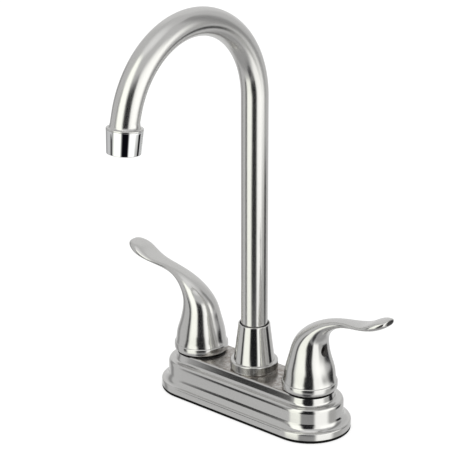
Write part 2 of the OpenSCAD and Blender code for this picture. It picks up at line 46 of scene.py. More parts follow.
HANDLE_X = 50.8
GASKET_T = 1.2
FLANGE_R = 29.3
STEP_R = 24.0
PLATEAU_R = 17.5
LEDGE_Z = 22.4
PLATEAU_Z = 28.8
COVER_WALL = 1.6
CEILING_Z = PLATEAU_Z - COVER_WALL

TUBE_R = 9.525
TUBE_BORE_R = TUBE_R - 1.2
TUBE_END_Z = PLATEAU_Z + 14.2
BEND_R = 63.0
BEND_Z = 231.0
BEND_ANGLE = 174.4
FLARE_LEN = 5.2
RIM_R = 12.1
NIPPLE_R = RIM_R - 1.3
NIPPLE_LEN = 6.0

NUT_TOP_Z = PLATEAU_Z + 35.1
KNURL_R = 17.1
KNURL_CORE_R = KNURL_R - 0.35
KNURL_H = 7.1
KNURL_COUNT = 108
TAPER_FOOT_R = 14.65
TAPER_TOP_R = 11.25
NUT_BORE_R = TUBE_R + 0.85

AERATOR_LEN = 15.7
MOUTH_R = 11.1
MOUTH_BORE_R = 9.1

SKIRT_Z = PLATEAU_Z + 0.8
BEAD_R = 19.7
BEAD_H = 6.4
BELL_R = 18.2
LOFT_Z = SKIRT_Z + BEAD_H
CROWN_Z = 90.0
LEVER_REACH = 68.0
NECK_HALF_W = 4.2
PADDLE_HALF_W = 10.5
SKIRT_WALL = 2.2
SCREW_R = 2.2
SCREW_Z = 60.8
SCREW_FACE = 12.4
CAVITY_R = BEAD_R - 1.5 - SKIRT_WALL
GLAND_R = 8.2
GLAND_TOP_Z = PLATEAU_Z + 15.6
SPLINE_R = 4.0

SHANK_R = 10.4
SHANK_BORE_R = 6.5
SHANK_LEN = 50.0
SHANK_TOP_Z = 12.0
THREAD_PITCH = 1.81
THREAD_DEPTH = 0.55

# ---------------------------------------------------------------- camera

# Fitted to the photograph: sizes in its pixels, angles in degrees, distances in metres
PHOTO_SIZE = 450
FOCAL_LENGTH_PX = 1760.55
LENS_AXIS_PX = 244.01, 177.39
CAMERA_TURN, CAMERA_DIP = 40.73, 18.92
CAMERA_DISTANCE, CAMERA_HEIGHT, CAMERA_ASIDE = 1.14969, 0.56631, -0.00696
SENSOR_WIDTH = 36.0  # in millimetres


def linked(name, data):
    """A new object in the scene."""
    made = bpy.data.objects.new(name, data)
    bpy.context.scene.collection.objects.link(made)
    return made


def make_camera():
    """The photograph's viewpoint: in front, to the right, looking down on the base."""
    turn, dip = math.radians(CAMERA_TURN), math.radians(CAMERA_DIP)
    across = Vector((math.cos(turn), math.sin(turn), 0))
    level = Vector((-math.sin(turn), math.cos(turn), 0))
    ahead = level * math.cos(dip) - Vector((0, 0, math.sin(dip)))
    up = level * math.sin(dip) + Vector((0, 0, math.cos(dip)))
    data = bpy.data.cameras.new("camera")
    data.sensor_width = SENSOR_WIDTH
    data.lens = SENSOR_WIDTH * FOCAL_LENGTH_PX / PHOTO_SIZE
    middle = (PHOTO_SIZE - 1) / 2
    data.shift_x = (middle - LENS_AXIS_PX[0]) / PHOTO_SIZE
    data.shift_y = (LENS_AXIS_PX[1] - middle) / PHOTO_SIZE
    data.clip_start, data.clip_end = 0.05, 50
    camera = linked("camera", data)
    place = Matrix((across, up, -ahead)).transposed().to_4x4()
    place.translation = (
        across * CAMERA_ASIDE - level * CAMERA_DISTANCE + Vector((0, 0, CAMERA_HEIGHT))
    )
    camera.matrix_world = place
    bpy.context.scene.camera = camera


# ---------------------------------------------------------------- node helpers


def feed(node, inputs):
    """Gives each input named a value of its own, or links it to the output given for it."""
    for key, value in inputs.items():
        if isinstance(value, bpy.types.NodeSocket):
            node.id_data.links.new(value, node.inputs[key])
        else:
            node.inputs[key].default_value = value


def add(nodes, kind, inputs=None, **settings):
    """One shader or geometry node, with its settings made and its inputs fed."""
    node = nodes.new(kind)
    for key, value in settings.items():
        setattr(node, key, value)
    feed(node, inputs or {})
    return node


def out(nodes, kind, inputs=None, output=0, **settings):
    """One output of a new node."""
    return add(nodes, kind, inputs, **settings).outputs[output]


def calc(nodes, operation, *sources):
    """The result of a math node."""
    return out(nodes, "ShaderNodeMath", dict(enumerate(sources)), operation=operation)


def ramp(nodes, value, start, end, low=0.0, high=1.0, kind="LINEAR"):
    """A value carried over from the range start to end to the range low to high."""
    inputs = {"Value": value, "From Min": start, "From Max": end, "To Min": low, "To Max": high}
    return out(nodes, "ShaderNodeMapRange", inputs, interpolation_type=kind)


def blend(nodes, share, under, over, **settings):
    """A share of one colour laid over another."""
    inputs = {"Factor": share, "A": under, "B": over}
    return out(nodes, "ShaderNodeMix", inputs, "Result", data_type="RGBA", **settings)


def choose(nodes, share, first, second):
    """A mix of two shaders."""
    return out(nodes, "ShaderNodeMixShader", {0: share, 1: first, 2: second})


def new_group(name, kind, inputs, outputs):
    """A node group: its tree, its nodes, what it is given and the node that takes its results."""
    tree = bpy.data.node_groups.new(name, kind)
    for label, socket_kind, default in inputs:
        socket = tree.interface.new_socket(
            name=label, in_out="INPUT", socket_type="NodeSocket" + socket_kind
        )
        if default is not None:
            socket.default_value = default
    for label, socket_kind in outputs:
        tree.interface.new_socket(
            name=label, in_out="OUTPUT", socket_type="NodeSocket" + socket_kind
        )
    given = add(tree.nodes, "NodeGroupInput").outputs
    return tree, tree.nodes, given, add(tree.nodes, "NodeGroupOutput")


def new_material(name):
    """A material and its nodes, which are an output and a Principled BSDF so far."""
    material = bpy.data.materials.new(name)
    material.use_nodes = True
    return material, material.node_tree.nodes


def grey(light):
    """A colour without a hue."""
    return (light, light, light, 1)


# ---------------------------------------------------------------- studio

# Panels of the light tent: bearing from the camera and half width in degrees, level and half
# height in metres, soft edges across in degrees and upright in metres, and colour
TENT_PANELS = [
    ("below", 0, 200, -1.2, 0.75, 5, 0.15, (0.40, 0.40, 0.40)),
    ("backdrop", 180, 34, 0.0, 1.2, 10, 0.10, (0.74, 0.74, 0.74)),
    ("far_left_gap", -124, 9, 0.05, 0.35, 6, 0.08, (0.34, 0.34, 0.34)),
    ("left_light", -44, 20, 0.44, 0.70, 5, 0.05, (1.30, 1.32, 1.22)),
    ("left_light_core", -43, 18, 0.62, 0.52, 8, 0.20, (1.50, 1.52, 1.42)),
    ("right_fade", 76, 16, -0.17, 0.17, 10, 0.05, (0.50, 0.50, 0.49)),
    ("right_light", 39, 22, 0.12, 0.42, 8, 0.10, (1.32, 1.32, 1.29)),
    ("right_light_core", 59, 25, 0.22, 0.20, 10, 0.12, (1.50, 1.50, 1.46)),
    ("left_gap", -75, 6, -0.04, 0.157, 3, 0.005, (0.03, 0.03, 0.03)),
    ("left_gap_upper", -66, 5, 0.30, 0.20, 5, 0.06, (0.36, 0.36, 0.36)),
    ("right_gap", 100.5, 12, -0.09, 0.10, 5, 0.02, (0.01, 0.01, 0.012)),
    ("right_gap_upper", 98, 11, 0.56, 0.46, 7, 0.12, (0.28, 0.28, 0.28)),
    ("camera_gap", -2, 18.5, 0.17, 0.36, 6, 0.10, (0.004, 0.004, 0.006)),
    ("camera_gap_low", -5.5, 21.5, -0.083, 0.092, 6, 0.006, (0.004, 0.004, 0.006)),
    ("table_front", -4, 19, -0.22, 0.04, 7, 0.006, (0.25, 0.25, 0.25)),
    ("table_near", -4, 19, -0.235, 0.03, 7, 0.012, (0.40, 0.40, 0.40)),
    ("table_low", -9, 19, -0.42, 0.155, 8, 0.02, (0.05, 0.05, 0.055)),
]
# Bearings and rises are in degrees, lengths in metres, and lights are shares of full white
CAMERA_BEARING = -49.27
TENT_R = 0.55
TENT_FOOT, TENT_TOP = -1.0, 1.15
TENT_FACETS = 96
WALL_LIGHT = 0.62
FLOOR_LIGHT = 0.42
ROOF_LIGHT = 0.95
ROOF_BEARING, ROOF_RISE = 5.0, 72.0
ROOF_EDGE = 0.82
EVEN_LIGHT = 0.9
FLOOR_SIDE, FLOOR_Z = 4.0, -0.0003
FLOOR_PAINT, FLOOR_GLOW = 0.42, 0.72


def tent_panel_group():
    """Lays one soft-edged panel, of its own brightness, over the wall so far."""
    tree, nodes, given, end = new_group(
        "Tent panel",
        "ShaderNodeTree",
        [
            ("Wall", "Color", (1, 1, 1, 1)),
            ("Angle", "Float", 0.0),
            ("Level", "Float", 0.0),
            ("Panel bearing", "Float", 0.0),
            ("Half width", "Float", 20.0),
            ("Panel level", "Float", 0.0),
            ("Half height", "Float", 0.3),
            ("Soft across", "Float", 5.0),
            ("Soft upright", "Float", 0.05),
            ("Panel light", "Color", (1, 1, 1, 1)),
        ],
        [("Color", "Color")],
    )

    def inside(offset, half, soft):
        distance = calc(nodes, "ABSOLUTE", offset)
        outer, inner = calc(nodes, "ADD", half, soft), calc(nodes, "SUBTRACT", half, soft)
        return ramp(nodes, distance, outer, inner, kind="SMOOTHSTEP")

    aside = calc(nodes, "SUBTRACT", given["Angle"], given["Panel bearing"])
    aside = calc(nodes, "WRAP", aside, 180, -180)
    above = calc(nodes, "SUBTRACT", given["Level"], given["Panel level"])
    across = inside(aside, given["Half width"], given["Soft across"])
    upright = inside(above, given["Half height"], given["Soft upright"])
    mask = calc(nodes, "MULTIPLY", across, upright)
    feed(end, {"Color": blend(nodes, mask, given["Wall"], given["Panel light"])})
    return tree


def make_tent():
    """The light tent round the object. Only the metal's reflections see it."""
    mesh = bpy.data.meshes.new("light_tent")
    n = TENT_FACETS
    verts = circle(TENT_R, TENT_FOOT, n) + circle(TENT_R, TENT_TOP, n)
    faces = [(j, j + n, (j + 1) % n + n, (j + 1) % n) for j in range(n)]
    mesh.from_pydata(verts, [], faces)
    mesh.shade_smooth()
    tent = linked("light_tent", mesh)
    material, nodes = new_material("tent_wall")
    nodes.clear()
    place = out(nodes, "ShaderNodeTexCoord", output="Object")
    parts = add(nodes, "ShaderNodeSeparateXYZ", {0: place}).outputs
    angle = calc(nodes, "ARCTAN2", parts["Y"], parts["X"])
    degrees = calc(nodes, "MULTIPLY_ADD", angle, 180 / math.pi, -CAMERA_BEARING)
    panel = tent_panel_group()
    wall = grey(WALL_LIGHT)
    for name, bearing, half_width, level, half_height, across, upright, light in TENT_PANELS:
        inputs = {
            "Wall": wall,
            "Angle": degrees,
            "Level": parts["Z"],
            "Panel bearing": bearing,
            "Half width": half_width,
            "Panel level": level,
            "Half height": half_height,
            "Soft across": across,
            "Soft upright": upright,
            "Panel light": light + (1,),
        }
        wall = out(nodes, "ShaderNodeGroup", inputs, "Color", node_tree=panel, name=name)
    glow = out(nodes, "ShaderNodeEmission", {"Color": wall})
    add(nodes, "ShaderNodeOutputMaterial", {0: glow})
    mesh.materials.append(material)
    tent.visible_camera = False
    tent.visible_diffuse = False
    tent.visible_transmission = False
    tent.visible_volume_scatter = False
    tent.visible_shadow = False


def make_world():
    """White to the camera, and even soft light on everything else."""
    world = bpy.data.worlds.new("studio")
    bpy.context.scene.world = world
    world.use_nodes = True
    nodes = world.node_tree.nodes
    nodes.clear()
    place = out(nodes, "ShaderNodeTexCoord", output="Generated")
    bearing, rise = math.radians(CAMERA_BEARING + ROOF_BEARING), math.radians(ROOF_RISE)
    lamp = (
        math.cos(bearing) * math.cos(rise),
        math.sin(bearing) * math.cos(rise),
        math.sin(rise),
    )
    towards = {0: place, 1: lamp}
    facing = out(nodes, "ShaderNodeVectorMath", towards, "Value", operation="DOT_PRODUCT")
    patch = ramp(nodes, facing, ROOF_EDGE, 1.0, kind="SMOOTHSTEP")
    roof = blend(nodes, patch, grey(WALL_LIGHT), grey(ROOF_LIGHT))
    height = out(nodes, "ShaderNodeSeparateXYZ", {0: place}, "Z")
    sides = blend(nodes, calc(nodes, "GREATER_THAN", height, 0), grey(FLOOR_LIGHT), roof)
    rays = add(nodes, "ShaderNodeLightPath").outputs
    seen, room, even = (
        out(nodes, "ShaderNodeBackground", {"Color": color})
        for color in (grey(1), sides, grey(EVEN_LIGHT))
    )
    glossy = choose(nodes, rays["Is Glossy Ray"], even, room)
    final = choose(nodes, rays["Is Camera Ray"], glossy, seen)
    add(nodes, "ShaderNodeOutputWorld", {0: final})


def make_floor():
    """A pale floor that keeps a soft shadow and that the metal looks past."""
    mesh = bpy.data.meshes.new("floor")
    s, z = FLOOR_SIDE, FLOOR_Z
    mesh.from_pydata([(-s, -s, z), (s, -s, z), (s, s, z), (-s, s, z)], [], [(0, 1, 2, 3)])
    floor = linked("floor", mesh)
    material, nodes = new_material("pale_floor")
    nodes.clear()
    paint = out(nodes, "ShaderNodeBsdfDiffuse", {"Color": grey(FLOOR_PAINT)})
    glow = out(nodes, "ShaderNodeEmission", {"Color": grey(1), "Strength": FLOOR_GLOW})
    lit = out(nodes, "ShaderNodeAddShader", {0: paint, 1: glow})
    rays = add(nodes, "ShaderNodeLightPath").outputs
    dim = choose(nodes, rays["Is Camera Ray"], paint, lit)
    hollow = out(nodes, "ShaderNodeBsdfTransparent")
    past = choose(nodes, rays["Is Glossy Ray"], dim, hollow)
    add(nodes, "ShaderNodeOutputMaterial", {0: past})
    mesh.materials.append(material)


# ---------------------------------------------------------------- finishes

METAL_SHARE = 0.985
SCRATCH_MEAN = 0.75
# Brownish painted shade and reflection on the plateau's top, and the least share of it
PLATEAU_SHADE = (0.36, 0.325, 0.295, 1)
PLATEAU_SHADE_LEAST = 0.25
UPWARD_FROM, UPWARD_TO = 0.93, 0.995


def brushing_group():
    """Long fine scratches: a height, a change of gloss and a change of shade."""
    tree, nodes, given, end = new_group(
        "Brushing",
        "ShaderNodeTree",
        [
            ("Place", "Vector", None),
            ("Scratch width", "Float", 0.0003),
            ("Scratch length", "Float", 0.02),
            ("Shade change", "Float", 0.04),
            ("Gloss", "Float", 0.25),
            ("Gloss change", "Float", 0.06),
        ],
        [("Height", "Float"), ("Roughness", "Float"), ("Shade", "Float")],
    )
    across = calc(nodes, "DIVIDE", 1, given["Scratch width"])
    along = calc(nodes, "DIVIDE", 1, given["Scratch length"])
    pitch = out(nodes, "ShaderNodeCombineXYZ", {"X": across, "Y": along, "Z": across})
    stretched = {0: given["Place"], 1: pitch}
    scaled = out(nodes, "ShaderNodeVectorMath", stretched, operation="MULTIPLY")
    noise = {"Vector": scaled, "Scale": 1.0, "Detail": 3.0, "Roughness": 0.6}
    fine = out(nodes, "ShaderNodeTexNoise", noise, "Fac")
    noise = {"Vector": scaled, "Scale": 0.22, "Detail": 2.0}
    broad = out(nodes, "ShaderNodeTexNoise", noise, "Fac")
    both = calc(nodes, "MULTIPLY_ADD", broad, 0.5, fine)
    centred = calc(nodes, "SUBTRACT", both, SCRATCH_MEAN)
    rough = calc(nodes, "MULTIPLY_ADD", centred, given["Gloss change"], given["Gloss"])
    shade = calc(nodes, "MULTIPLY_ADD", centred, given["Shade change"], 1)
    feed(end, {"Height": both, "Roughness": rough, "Shade": shade})
    return tree


def mottle_group():
    """Soft uneven patches, as cast, moulded and cut surfaces have."""
    tree, nodes, given, end = new_group(
        "Mottle",
        "ShaderNodeTree",
        [
            ("Place", "Vector", None),
            ("Patch size", "Float", 0.004),
            ("Dark", "Color", (0.4, 0.4, 0.4, 1)),
            ("Light", "Color", (0.6, 0.6, 0.6, 1)),
            ("Smooth", "Float", 0.3),
            ("Coarse", "Float", 0.45),
        ],
        [("Color", "Color"), ("Roughness", "Float"), ("Height", "Float")],
    )
    pitch = calc(nodes, "DIVIDE", 1, given["Patch size"])
    patches = {"Vector": given["Place"], "Scale": pitch, "Detail": 4.0, "Roughness": 0.55}
    noise = out(nodes, "ShaderNodeTexNoise", patches, "Fac")
    spread = ramp(nodes, noise, 0.3, 0.7)
    tint = blend(nodes, spread, given["Dark"], given["Light"])
    rough = ramp(nodes, spread, 0.0, 1.0, given["Smooth"], given["Coarse"])
    feed(end, {"Color": tint, "Roughness": rough, "Height": noise})
    return tree


BRUSHING = brushing_group()
MOTTLE = mottle_group()


def plateau_painted_shade(nodes, color):
    """Painted shade and reflection in cloudy brownish patches on the highest face, under the
    handles and the nut.
    """
    spot = out(nodes, "ShaderNodeTexCoord", output="Object")
    height = out(nodes, "ShaderNodeSeparateXYZ", {0: spot}, "Z")
    deck = ramp(nodes, height, (PLATEAU_Z - 0.5) * MM, (PLATEAU_Z - 0.05) * MM)
    noise = {"Vector": spot, "Scale": 260, "Detail": 7, "Roughness": 0.72}
    cloud = out(nodes, "ShaderNodeTexNoise", noise, "Fac")
    patchy = ramp(nodes, cloud, 0.38, 0.62, low=PLATEAU_SHADE_LEAST, kind="SMOOTHSTEP")
    return blend(nodes, calc(nodes, "MULTIPLY", deck, patchy), color, PLATEAU_SHADE)


def dulled(nodes, roughness, dullness, metal_share):
    """Roughness and share of metal, where faces that look up are duller than the rest."""
    facing = out(nodes, "ShaderNodeNewGeometry", output="Normal")
    upward = out(nodes, "ShaderNodeSeparateXYZ", {0: facing}, "Z")
    dull = ramp(nodes, upward, UPWARD_FROM, UPWARD_TO, high=dullness, kind="SMOOTHSTEP")
    metal = ramp(nodes, dull, 0.0, dullness, METAL_SHARE, metal_share)
    return calc(nodes, "ADD", roughness, dull), metal


def brushed_metal(
    name, color, gloss, gloss_change, width, length, lift, shade_change=0.05, turn=0.0, flats=None
):
    """Metal with a brushed grain that runs along V of the piece's own UV map.

    Flats gives faces that look up a dullness and a share of metal, and the highest a painted shade
    and reflection."""
    material, nodes = new_material(name)
    surface = nodes["Principled BSDF"]
    feed(surface, {"Metallic": METAL_SHARE})
    grid = out(nodes, "ShaderNodeUVMap", uv_map="run")
    aim = {"Vector": grid, "Rotation": (0, 0, math.radians(turn))}
    inputs = {
        "Place": out(nodes, "ShaderNodeMapping", aim),
        "Scratch width": width,
        "Scratch length": length,
        "Shade change": shade_change,
        "Gloss": gloss,
        "Gloss change": gloss_change,
    }
    grain = add(nodes, "ShaderNodeGroup", inputs, node_tree=BRUSHING).outputs
    tint = blend(nodes, 1, color + (1,), grain["Shade"], blend_type="MULTIPLY")
    roughness = grain["Roughness"]
    if flats:
        # Painted shade and reflection in patches on the plateau's top
        tint = plateau_painted_shade(nodes, tint)
        roughness, metal = dulled(nodes, roughness, *flats)
        feed(surface, {"Metallic": metal})
    relief = {"Strength": 0.5, "Distance": lift, "Height": grain["Height"]}
    bump = out(nodes, "ShaderNodeBump", relief)
    feed(surface, {"Base Color": tint, "Roughness": roughness, "Normal": bump})
    return material


def mottled(name, dark, light, metallic, smooth, coarse, patch, lift, shine=0.5):
    """Plain turned, cast or moulded stuff with soft uneven patches."""
    material, nodes = new_material(name)
    inputs = {
        "Place": out(nodes, "ShaderNodeTexCoord", output="Object"),
        "Patch size": patch,
        "Dark": dark + (1,),
        "Light": light + (1,),
        "Smooth": smooth,
        "Coarse": coarse,
    }
    patches = add(nodes, "ShaderNodeGroup", inputs, node_tree=MOTTLE).outputs
    relief = {"Strength": 0.4, "Distance": lift, "Height": patches["Height"]}
    surface = {
        "Base Color": patches["Color"],
        "Roughness": patches["Roughness"],
        "Metallic": metallic,
        "Specular IOR Level": shine,
        "Normal": out(nodes, "ShaderNodeBump", relief),
    }
    feed(nodes["Principled BSDF"], surface)
    return material


NICKEL = (0.685, 0.68, 0.668)
# Nickel darkened for the knurl: painted shade of the grooves between its ridges
KNURL_SHADE_COLOR = (0.23, 0.222, 0.212)
SPOUT_NICKEL = brushed_metal("spout_nickel", NICKEL, 0.2, 0.03, 0.0003, 0.08, 0.000001)
HANDLE_NICKEL = brushed_metal("handle_nickel", NICKEL, 0.16, 0.03, 0.0003, 0.03, 0.000001)
NUT_NICKEL = brushed_metal("nut_nickel", NICKEL, 0.11, 0.03, 0.0003, 0.02, 0.000001)
# The knurl's material, in the darkened nickel of painted shade
KNURL_SHADED_NICKEL = brushed_metal(
    "knurl_nickel_painted_shade", KNURL_SHADE_COLOR, 0.24, 0.1, 0.0006, 0.002, 0.000004, shade_change=0.5
)
BASE_NICKEL = brushed_metal(
    "base_nickel",
    NICKEL,
    0.12,
    0.05,
    0.0004,
    0.02,
    0.0000015,
    shade_change=0.1,
    turn=90,
    flats=(0.1, 0.93),
)
CHROME = mottled(
    "polished_chrome", (0.78, 0.785, 0.79), (0.82, 0.825, 0.83), 1.0, 0.03, 0.05, 0.01, 0.000002
)
BRASS = mottled(
    "turned_brass", (0.60, 0.43, 0.16), (0.72, 0.55, 0.25), 1.0, 0.28, 0.42, 0.002, 0.00001
)
DULL_STEEL = mottled(
    "dull_steel", (0.05, 0.045, 0.04), (0.13, 0.11, 0.095), 0.8, 0.35, 0.5, 0.0008, 0.00001
)
# Near-black lining of the set screw's hole: painted shade inside the hole
SCREW_HOLE_SHADE = mottled(
    "screw_hole_painted_shade", (0.03, 0.028, 0.026), (0.07, 0.065, 0.06), 0.3, 0.45, 0.6, 0.0008, 0.00001
)
STEEL = mottled(
    "zinc_steel", (0.42, 0.43, 0.45), (0.55, 0.56, 0.58), 1.0, 0.25, 0.4, 0.0015, 0.00001
)
WHITE_NYLON = mottled(
    "white_nylon", (0.72, 0.72, 0.68), (0.82, 0.82, 0.79), 0.0, 0.42, 0.55, 0.003, 0.00002
)
BLACK_NYLON = mottled(
    "black_nylon", (0.012, 0.012, 0.013), (0.03, 0.03, 0.032), 0.0, 0.4, 0.55, 0.003, 0.00002
)
BLACK_RUBBER = mottled(
    "black_rubber", (0.003,) * 3, (0.008,) * 3, 0.0, 0.6, 0.8, 0.0015, 0.00003, shine=0.1
)
CERAMIC = mottled(
    "lapped_ceramic", (0.78, 0.77, 0.72), (0.86, 0.85, 0.81), 0.0, 0.12, 0.2, 0.002, 0.000004
)

# ---------------------------------------------------------------- mesh helpers

SIDES = {"left": -1, "right": 1}
SHARP_ANGLE = math.radians(32)
LATHE_POINTS = 96
ROD_POINTS = 48


def arc(cx, cy, r, start, end, steps):
    """Points on an arc, from one angle to the other."""
    return [
        (
            cx + r * math.cos(math.radians(start + (end - start) * i / steps)),
            cy + r * math.sin(math.radians(start + (end - start) * i / steps)),
        )
        for i in range(steps + 1)
    ]


def circle(r, z, points, shift=0.0):
    """Points of a level circle, the first of them shifted by a share of a step."""
    angles = [2 * math.pi * (j + shift) / points for j in range(points)]
    return [(r * math.cos(a), r * math.sin(a), z) for a in angles]


def seat(name, mesh, body, slot, material, *replaced):
    """A finished mesh, in metres in the row's frame, on its body."""
    piece = linked(name, mesh)
    if not mesh.materials:
        mesh.materials.append(material)
    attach(piece, body)
    if replaced:
        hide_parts(*replaced)


def skin(name, rings, girth, closed=False):
    """Rings of points in millimetres joined into one smooth surface.

    The UV map named run is in metres: U round the ring, V from ring to ring.
    A surface that isn't closed on itself gets a flat cap at each end."""
    count = len(rings[0])
    mesh = bpy.data.meshes.new(name)
    verts = [Vector(p) * MM for ring in rings for p in ring]
    last = len(rings) if closed else len(rings) - 1
    faces, corners = [], []
    run = [0.0]
    for k in range(last):
        a, b = rings[k], rings[(k + 1) % len(rings)]
        step = sum((Vector(p) - Vector(q)).length for p, q in zip(a, b)) / count
        run.append(run[-1] + step * MM)
    for k in range(last):
        low, high = k * count, (k + 1) % len(rings) * count
        for j in range(count):
            n = (j + 1) % count
            faces.append((low + j, low + n, high + n, high + j))
            u0, u1 = girth * MM * j / count, girth * MM * (j + 1) / count
            corners += [(u0, run[k]), (u1, run[k]), (u1, run[k + 1]), (u0, run[k + 1])]
    if not closed:
        first, top = range(count), (len(rings) - 1) * count
        faces += [tuple(reversed(first)), tuple(top + j for j in first)]
        for ring in (rings[0][::-1], rings[-1]):
            corners += [(p[0] * MM, p[1] * MM) for p in ring]
    mesh.from_pydata(verts, [], faces)
    for loop, uv in zip(mesh.uv_layers.new(name="run").data, corners):
        loop.uv = uv
    outward(mesh)
    mesh.shade_smooth()
    mesh.set_sharp_from_angle(angle=SHARP_ANGLE)
    return mesh


def outward(mesh):
    """Turns the faces of a closed mesh outwards."""
    shape = bmesh.new()
    shape.from_mesh(mesh)
    bmesh.ops.recalc_face_normals(shape, faces=shape.faces)
    shape.to_mesh(mesh)
    shape.free()


def lathe(profile, points=LATHE_POINTS, place=Matrix.Identity(4)):
    """Rings of a turned shape, from a profile of radius and height."""
    return [[place @ Vector(p) for p in circle(r, z, points)] for r, z in profile]


def cut(mesh_name, piece_mesh, cutters, inside=None):
    """The mesh with round holes through it, their walls given the inside material if one is given.

    A cutter is (radius, start, end) in millimetres, or (radius, start, end, radius at end)."""
    piece = linked("work", piece_mesh)
    tools = []
    for r, start, end, *end_r in cutters:
        axis = Vector(end) - Vector(start)
        spin = axis.to_track_quat("Z", "Y").to_matrix().to_4x4()
        place = Matrix.Translation(Vector(start)) @ spin
        profile = [(r, 0), (end_r[0] if end_r else r, axis.length)]
        rod = skin("rod", lathe(profile, ROD_POINTS, place), 2 * math.pi * r)
        if inside:
            rod.materials.append(inside)
        tool = linked("rod", rod)
        tools.append(tool)
        hole = piece.modifiers.new("hole", "BOOLEAN")
        hole.operation, hole.solver, hole.object = "DIFFERENCE", "EXACT", tool
        if inside:
            hole.material_mode = "TRANSFER"
    result = bpy.data.meshes.new_from_object(
        piece.evaluated_get(bpy.context.evaluated_depsgraph_get())
    )
    for spent in [piece, *tools]:
        bpy.data.objects.remove(spent)
    result.name = mesh_name
    result.set_sharp_from_angle(angle=SHARP_ANGLE)
    return result


# ---------------------------------------------------------------- base

END_STEPS, SIDE_STEPS = 40, 28
HANDLE_HOLE_R, HUB_HOLE_R = 12.3, 13.2
BASE_GIRTH = 4 * HANDLE_X + 2 * math.pi * STEP_R


def round_ended(reach, z):
    """One ring round the long base, at a distance from its middle line."""
    ring = []
    for side in (1, -1):
        for i in range(END_STEPS + 1):
            a = math.radians(-90 + 180 * i / END_STEPS) + (0 if side > 0 else math.pi)
            ring.append((side * HANDLE_X + reach * math.cos(a), reach * math.sin(a), z))
        for i in range(1, SIDE_STEPS):
            ring.append((side * HANDLE_X * (1 - 2 * i / SIDE_STEPS), side * reach, z))
    return ring


def cover_outline():
    """From the foot's rim up the cove and over the top step to the plateau's edge."""
    foot_z, foot_edge_r, cove_r = 6.9, 0.9, 5.25
    step_edge_w, step_edge_h = 1.7, 3
    ledge_r, plateau_edge_r = 2.3, 1.6
    return [
        (FLANGE_R - 0.5, GASKET_T),
        (FLANGE_R - 0.5, GASKET_T + 0.6),
        (FLANGE_R - 0.12, GASKET_T + 0.62),
        (FLANGE_R, GASKET_T + 0.8),
        *arc(FLANGE_R - foot_edge_r, foot_z - 0.95, foot_edge_r, 0, 82, 9),
        *arc(STEP_R + cove_r, foot_z + cove_r, cove_r, 262, 180, 22),
        *[
            (STEP_R - step_edge_w + step_edge_w * r, LEDGE_Z - step_edge_h + step_edge_h * z)
            for r, z in arc(0, 0, 1, 0, 90, 14)
        ],
        *arc(PLATEAU_R + 2.8, LEDGE_Z + ledge_r, ledge_r, 270, 186, 12),
        *arc(PLATEAU_R - plateau_edge_r, PLATEAU_Z - plateau_edge_r, plateau_edge_r, 6, 90, 10),
        (PLATEAU_R - 2.6, PLATEAU_Z),
    ]


def cover_hollow():
    """From the ceiling under the plateau down the inside of the wall to the gasket."""
    w = COVER_WALL
    return [
        (PLATEAU_R - w, CEILING_Z),
        (PLATEAU_R - w, LEDGE_Z - w),
        (STEP_R - w - 1, LEDGE_Z - w),
        (STEP_R - w, LEDGE_Z - w - 1),
        (STEP_R - w, 12.0),
        (STEP_R + 1.4 - w, 7.6),
        (FLANGE_R - w - 1.2, 5.2),
        (FLANGE_R - w, 4.0),
        (FLANGE_R - w, GASKET_T),
    ]


def make_base_cover():
    """The stepped shell, with a hole for each handle's stem and one for the spout's hub."""
    rings = [round_ended(r, z) for r, z in cover_hollow() + cover_outline()]
    shell = skin("base_cover_shell", rings, BASE_GIRTH)
    past = 3
    holes = [
        (r, (x, 0, CEILING_Z - past), (x, 0, PLATEAU_Z + past))
        for r, x in ((HANDLE_HOLE_R, -HANDLE_X), (HANDLE_HOLE_R, HANDLE_X), (HUB_HOLE_R, 0))
    ]
    shell = cut("base_cover_shell", shell, holes)
    seat("stepped_base_cover", shell, "base", "brushed_nickel_base", BASE_NICKEL, "base_cover")


def make_gasket_lip_shadow_line():
    """The gasket's edge, drawn taller and wider than the gasket so that its black line under the
    cover also paints the shadow where the cover meets the floor.
    """
    inner_r, edge_r, outer_r = FLANGE_R - 0.42, FLANGE_R - 0.1, FLANGE_R - 0.04
    low, top = 0.03, GASKET_T + 0.55
    lip = [
        (inner_r, low),
        (edge_r, low),
        (outer_r, 0.3),
        (outer_r, GASKET_T + 0.4),
        (edge_r, top),
        (inner_r, top),
    ]
    edge = skin("gasket_lip_shadow_line", [round_ended(r, z) for r, z in lip], BASE_GIRTH, closed=True)
    seat("gasket_edge_lip_shadow_line", edge, "base", "black_rubber", BLACK_RUBBER)


# ---------------------------------------------------------------- spout

STRAIGHT_STEPS, BEND_STEPS = 36, 84
OUTLET = Matrix.Translation(
    (
        0,
        -BEND_R * (1 - math.cos(math.radians(BEND_ANGLE))),
        BEND_Z + BEND_R * math.sin(math.radians(BEND_ANGLE)),
    )
) @ Matrix.Rotation(math.radians(BEND_ANGLE - 180), 4, "X")


def neck_stations():
    """Places along the neck's centreline, as matrices with +Z along the tube."""
    stations = []
    for i in range(STRAIGHT_STEPS):
        z = TUBE_END_Z + (BEND_Z - TUBE_END_Z) * i / STRAIGHT_STEPS
        stations.append(Matrix.Translation((0, 0, z)))
    for i in range(BEND_STEPS + 1):
        a = math.radians(BEND_ANGLE) * i / BEND_STEPS
        y, z = -BEND_R * (1 - math.cos(a)), BEND_Z + BEND_R * math.sin(a)
        stations.append(Matrix.Translation((0, y, z)) @ Matrix.Rotation(a, 4, "X"))
    return stations


def ring_at(place, r, points=72):
    """A ring across the neck, which starts at the tube's back."""
    return [place @ Vector((x, y, 0)) for y, x, _ in circle(r, 0, points)]


